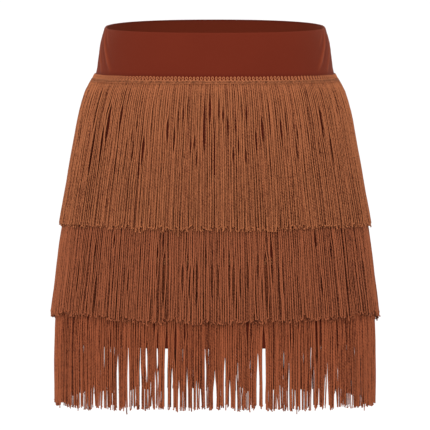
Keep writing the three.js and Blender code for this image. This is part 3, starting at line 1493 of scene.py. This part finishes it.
    def curls(self, tips: np.ndarray, normals: np.ndarray) -> list[np.ndarray]:
        """Carries each cord on round the curl at its end.

        Args:
            tips: Where the curls start.
            normals: The outward direction at each of them.

        Returns:
            The next points of all cords, step by step.
        """
        rng, count = self.random, len(tips)
        sideways = np.stack([-normals[:, 1], normals[:, 0], np.zeros(count)], axis=-1)
        heading = rng.normal(0, 0.55, count) + rng.choice([0.0, math.pi], count)
        bend = np.cos(heading)[:, None] * sideways + np.sin(heading)[:, None] * normals
        curl = self.hang.hook * rng.uniform(0.2, 1.0, count)
        size = rng.uniform(0.9, 1.9, count)[:, None]
        made = []
        for turn in CURL_STEPS:
            swing = (curl * turn)[:, None]
            down = np.array([[0, 0, -1.0]]) * np.sin(swing)
            made.append(tips + size * (bend * (1 - np.cos(swing)) + down))
        return made

    def tones(self, row: Row, shares: np.ndarray, count: int) -> np.ndarray:
        """The tone of each cord at each of its points, with painted shade where the tier above covers it
        and a painted highlight on its curl.

        Args:
            row: Which row.
            shares: How far along a cord each point lies, down to where its curl starts.
            count: How many cords the row has.

        Returns:
            One number for each point, from 0, dark, to 1, light.
        """
        hang = self.hang
        own = np.clip(row.tone + self.random.normal(0, row.vary, count), 0, 1)[:, None]
        lower = hang.even * (smoothstep(shares, 0.36, 0.56) - 0.7 * smoothstep(shares, 0.84, 1.0))
        body = own + lower * (hang.even_tone - 0.3 * shares - own)
        # Painted shade: above a height the tier hangs behind the one above, and its tones are darker.
        painted_cover_shade = smoothstep(self.start - shares * FRINGE_LENGTH, hang.painted_shade_above, hang.painted_shade_above + 16)
        # The curls get a painted highlight: lighter than the rest of their cord.
        ends = np.repeat(own + CURL_HIGHLIGHT, len(CURL_STEPS), axis=1)
        return np.concatenate([body - 0.46 * painted_cover_shade, ends], axis=1)

    def cords(self, row: Row) -> Cords:
        """One row of cords with curled ends.

        Args:
            row: Which row.

        Returns:
            The cords.
        """
        rng = self.random
        count = round(self.girth / row.pitch)
        base = (np.arange(count) + row.shift + rng.uniform(-0.1, 0.1, count)) * self.girth / count
        angles = self.form.angles_at(self.middle, base)
        lengths = self.lengths(base, angles)
        shares = np.concatenate([[-1.8 / FRINGE_LENGTH, 0.012], np.linspace(0.06, 0.985, row.steps)])
        out_steps = np.array([step.out for step in self.drape])
        drape = np.interp(shares, [step.share for step in self.drape], out_steps)
        eased = smoothstep(shares, -0.02, 0.07)
        lean = rng.normal(0, 0.36, count)
        stray = (rng.random(count) < 0.05) * rng.choice([-1.0, 1.0], count) * rng.uniform(1.8, 4.2, count)
        first, second, off_phase, third = rng.uniform(0, TURN, (4, count))
        lifts = rng.normal(0, 0.2, count)
        points, normals = [], []
        for share, out, ease in zip(shares, drape, eased):
            z = self.start - share * lengths
            waves = zip(CORD_WAVES, (first, second, third))
            wave = sum(size * np.sin(phase + share * speed) for (size, speed), phase in waves)
            swell = 0.35 * np.sin(base / 9.3 + share * 3 + self.seed)
            swell = swell + 0.14 * np.sin(base / 3.1 - share * 4)
            side = ease * (wave + swell) + max(share, 0) ** 1.6 * (lean + stray)
            side = side + self.opened(base, float(self.start - share * FRINGE_LENGTH))
            off = out + ease * (row.lift + lifts + 0.2 * np.sin(off_phase + share * 13))
            off = off + max(share, 0) ** 2 * np.abs(stray) * 0.25
            place, normal = self.form.point(angles, z, off, side)
            points.append(place)
            normals.append(normal)
        points += self.curls(place, normal)
        normals += [normal] * len(CURL_STEPS)
        radii = np.full((count, len(points)), row.radius) * rng.uniform(0.88, 1.12, count)[:, None]
        radii[:, 0] *= 0.8
        radii[:, -2:] *= np.array([1.32, 1.08])
        tones = self.tones(row, shares, count)
        return Cords(np.stack(points, axis=1), np.stack(normals, axis=1), radii, tones)

    def build(self) -> bpy.types.Object:
        """Makes the tier.

        Returns:
            The finished piece.
        """
        mesh = YarnMesh(f"{self.tier.value}_cords")
        for row in self.rows:
            mesh.add(self.cords(row))
        piece = mesh.make()
        dress(piece, self.finish.material(), "fringe", self.tier.value)
        return piece


# The tiers' own sizes

TOP_DRAPE = (
    DrapeStep(0, 1.4),
    DrapeStep(0.06, 1.9),
    DrapeStep(0.2, 3.0),
    DrapeStep(0.46, 3.5),
    DrapeStep(0.74, 4.2),
    DrapeStep(1, 6.5),
)
MIDDLE_DRAPE = (
    DrapeStep(0, 1.4),
    DrapeStep(0.22, 2.1),
    DrapeStep(0.48, 4.4),
    DrapeStep(0.74, 5.7),
    DrapeStep(1, 7.9),
)
BOTTOM_DRAPE = (
    DrapeStep(0, 1.4),
    DrapeStep(0.25, 1.8),
    DrapeStep(0.5, 2.9),
    DrapeStep(1, 3.1),
)

# Each tier's rows grow darker inwards: the inner rows' low tones are painted shade between the outer
# cords, while the spread from cord to cord is the yarn's own.
TOP_ROWS = (
    Row(2.55, 0.1, 0.63, 0.84, 0.22),
    Row(2.55, -0.7, 0.56, 0.4, 0.22, 0.5),
    Row(2.3, -1.3, 0.68, 0.05, 0.12, 0.0, 9),
)
MIDDLE_ROWS = (
    Row(2.4, 0.1, 0.6, 0.88, 0.22),
    Row(2.4, -0.75, 0.52, 0.36, 0.22, 0.5),
    Row(2.1, -1.4, 0.68, 0.0, 0.12, 0.0, 9),
)
BOTTOM_ROWS = (
    Row(2.4, 0.1, 0.61, 0.84, 0.28),
    Row(2.4, -0.6, 0.57, 0.34, 0.24, 0.5),
    Row(2.1, -1.2, 0.64, 0.08, 0.12, 0.2, 9),
)


def mirrored(*partings: Parting) -> tuple[Parting, ...]:
    """Adds the mirror images of some partings across the middle of the skirt.

    Args:
        partings: Those of the right half and the middle.

    Returns:
        Those of both halves.
    """
    both = [*partings]
    both += [Parting(-p.x, p.top, p.bottom, p.width, p.side) for p in partings if p.x]
    return tuple(both)


TOP_PARTINGS = mirrored(
    Parting(117.5, -79, -128, 4.2),
    Parting(104.5, -81, -109, 3.4),
    Parting(111, -119, -145, 3.0),
    Parting(88, -119, -147, 3.2),
    Parting(90, -106, -128, 2.8),
    Parting(86, -91, -113, 2.6),
    Parting(81, -157, -179, 2.4),
    Parting(65, -182, -216, 2.2),
    Parting(52.5, -93, -129, 3.2),
    Parting(44.5, -102, -134, 2.6),
    Parting(35.5, -77, -107, 2.5),
    Parting(33, -123, -151, 2.5),
    Parting(31, -75, -99, 2.1),
    Parting(25, -115, -137, 2.1),
    Parting(19.5, -126, -150, 2.2),
    Parting(4.5, -73, -106, 2.4),
)
MIDDLE_PARTINGS = mirrored(
    Parting(107, -217, -242, 2.8),
    Parting(60, -225, -281, 2.9),
    Parting(53.5, -243, -303, 4.2),
    Parting(54.5, -221, -244, 2.3),
    Parting(41, -296, -320, 2.2),
    Parting(34, -256, -291, 2.7),
    Parting(26, -255, -297, 2.4),
    Parting(19, -247, -303, 3.2),
    Parting(9.5, -236, -259, 2.2),
    Parting(3, -254, -295, 2.7),
    Parting(3, -224, -246, 2.1),
)
BOTTOM_PARTINGS = mirrored(
    Parting(0, -362, BELOW_TIPS, 4.4),
    Parting(4.6, -378, BELOW_TIPS, 1.0),
    Parting(10.4, -344, BELOW_TIPS, 1.8),
    Parting(15.4, -364, BELOW_TIPS, 2.5),
    Parting(23.2, -360, -396, 2.2),
    Parting(45, -346, BELOW_TIPS, 2.8),
    Parting(51.8, -308, BELOW_TIPS, 4.0),
    Parting(67, -386, BELOW_TIPS, 3.2),
    Parting(72.5, -334, -380, 2.0),
    Parting(78.3, -352, -396, 1.8),
    Parting(91.6, -334, BELOW_TIPS, 1.6),
    Parting(102.9, -342, -396, 2.4),
    Parting(118.6, -372, -400, 3.2),
    Parting(128.3, -372, -402, 3.4),
)
BACK_SCALE = 1.045


def seen_through(partings: Sequence[Parting]) -> tuple[Parting, ...]:
    """The same slits in the back of the skirt, where light shows through the front ones.

    Args:
        partings: The slits in the front.

    Returns:
        Those in the back.
    """
    return tuple(
        Parting(p.x * BACK_SCALE, p.top - 6, BELOW_TIPS, p.width + 1.2, Side.BACK) for p in partings
    )


# The studio


@dataclass(frozen=True)
class Lamp:
    """One soft light.

    Args:
        name: Its name.
        place: Where it stands, in metres.
        size: The side of its square face.
        power: Its power in watts.
    """

    name: str
    place: tuple[float, float, float]
    size: float
    power: float


@dataclass
class Studio:
    """The camera, the floor and the lights.

    Args:
        distance: From the camera to the middle of the skirt, in metres.
        elevation: How far the camera looks down, in degrees.
        middle: The height that the picture is centred on.
        width: The width of what the picture shows at that distance.
        floor: The height of the floor, as far below a waist as a wearer's feet.
        sensor: The width of the camera's sensor, in millimetres.
        glow: The strength of the white surroundings.
        lamps: The soft lights.
    """

    distance: float = 5.5
    elevation: float = 3.7
    middle: float = -0.205
    width: float = 0.4687
    floor: float = -1.02
    sensor: float = 36.0
    glow: float = 1.12
    lamps: tuple[Lamp, ...] = (
        Lamp("key_light", (-0.4, -3.6, 1.3), 2.4, 90.0),
        Lamp("left_light", (-0.62, -0.5, 0.7), 0.5, 2.3),
        Lamp("right_light", (0.62, -0.5, 0.7), 0.5, 2.3),
    )

    def add_camera(self) -> None:
        """Adds the camera at the photograph's angle."""
        tilt = math.radians(self.elevation)
        bpy.ops.object.camera_add()
        camera = bpy.context.object
        camera.name = "camera"
        back = Vector((0, -math.cos(tilt), math.sin(tilt)))
        camera.location = Vector((0, 0, self.middle)) + back * self.distance
        camera.rotation_euler = (-back).to_track_quat("-Z", "Y").to_euler()
        camera.data.sensor_width = self.sensor
        camera.data.lens = self.sensor * self.distance / self.width
        camera.data.clip_end = 200
        bpy.context.scene.camera = camera

    def add_floor(self) -> None:
        """Adds the plain pale floor."""
        bpy.ops.object.select_all(action="DESELECT")
        bpy.ops.mesh.primitive_plane_add(size=160)
        floor = bpy.context.object
        floor.name = "floor"
        floor.data.transform(Matrix.Translation((0, 0, self.floor)))
        floor.data.materials.append(FloorFinish().material())

    def add_lights(self) -> None:
        """Adds the white surroundings and the soft lamps."""
        world = bpy.data.worlds.new("studio_light")
        bpy.context.scene.world = world
        world.use_nodes = True
        background = world.node_tree.nodes["Background"]
        background.inputs["Color"].default_value = (1, 1, 1, 1)
        background.inputs["Strength"].default_value = self.glow
        for lamp in self.lamps:
            bpy.ops.object.light_add(type="AREA", location=lamp.place)
            light = bpy.context.object
            light.name = lamp.name
            light.data.size = lamp.size
            light.data.energy = lamp.power
            aim = Vector((0, 0, self.middle)) - Vector(lamp.place)
            light.rotation_euler = aim.to_track_quat("-Z", "Y").to_euler()
        bpy.context.scene.view_settings.view_transform = "Standard"

    def build(self) -> None:
        """Sets the whole studio up."""
        self.add_camera()
        self.add_floor()
        self.add_lights()


# The whole skirt

WAISTBAND_KNIT = KnitFinish(
    name="waistband_knit",
    colour=(0.104, 0.013, 0.0047),
    shade=(0.08, 0.009, 0.0031),
    painted_light=(0.25, 0.052, 0.02),
    sheen=0.12,
)
# The underskirt's knit is darker than the waistband's: partly its own colour, partly painted shade where
# it hangs behind the fringe.
UNDERSKIRT_KNIT = KnitFinish(
    name="underskirt_knit",
    colour=(0.085, 0.012, 0.005),
    shade=(0.062, 0.008, 0.0035),
    painted_light=(0.25, 0.052, 0.02),
    sheen=0.06,
)
SEWING_THREAD = YarnFinish("sewing_thread", (0.07, 0.012, 0.006), (0.05, 0.009, 0.005), 0.6)
BRAID_YARN = YarnFinish("braid_yarn", (0.37, 0.126, 0.054), (0.02, 0.002, 0.001), 1.6)
TOP_YARN = YarnFinish("fringe_top_yarn", (0.3, 0.1, 0.041), (0.044, 0.004, 0.0018), 3.3)
MIDDLE_YARN = YarnFinish("fringe_middle_yarn", (0.262, 0.077, 0.033), (0.026, 0.0024, 0.0014), 3.3)
BOTTOM_YARN = YarnFinish("fringe_bottom_yarn", (0.266, 0.072, 0.0295), (0.036, 0.0036, 0.0016), 3.3)


def fringe_tiers(form: BodyForm) -> tuple[Fringe, ...]:
    """The three tiers of fringe.

    Args:
        form: The body that they hang round.

    Returns:
        The tiers from the top down, ready to be built.
    """
    top = Fringe(
        form=form,
        tier=Tier.TOP,
        heading=-50.5,
        drape=TOP_DRAPE,
        rows=TOP_ROWS,
        partings=TOP_PARTINGS,
        finish=TOP_YARN,
        seed=11,
        hang=Hang(front_lift=4.4, slit_zone=(1.0, 56.0), slit_width=1.1, even=0.5),
    )
    middle = Fringe(
        form=form,
        tier=Tier.MIDDLE,
        heading=-155.0,
        drape=MIDDLE_DRAPE,
        rows=MIDDLE_ROWS,
        partings=MIDDLE_PARTINGS,
        finish=MIDDLE_YARN,
        seed=23,
        hang=Hang(front_lift=12.5, slit_zone=(66.0, 132.0), slit_width=0.85),
    )
    bottom = Fringe(
        form=form,
        tier=Tier.BOTTOM,
        heading=-243.0,
        drape=BOTTOM_DRAPE,
        rows=BOTTOM_ROWS,
        partings=BOTTOM_PARTINGS + seen_through(BOTTOM_PARTINGS),
        finish=BOTTOM_YARN,
        seed=37,
        hang=Hang(
            front_lift=1.1,
            lift_reach=1.0,
            centre_drop=-1.2,
            spread=1.0,
            hook=0.5,
            slit_zone=(34.0, 70.0),
            slit_width=0.8,
            painted_shade_above=-309.0,
        ),
    )
    return top, middle, bottom


def main() -> None:
    """Builds the skirt and the studio."""
    logging.basicConfig(level=logging.INFO, format="%(message)s")
    Studio().build()
    form = BodyForm(BODY_LEVELS, BODY_POWER)
    for side in Side:
        Waistband(form, side, WAISTBAND_KNIT).build()
        Underskirt(form, side, UNDERSKIRT_KNIT).build()
    Sewing(form, SEWING_THREAD).build()
    for fringe in fringe_tiers(form):
        Heading(form, fringe.heading, BRAID_YARN, SEWING_THREAD, fringe.tier).build()
        fringe.build()


if __name__ == "__main__":
    main()
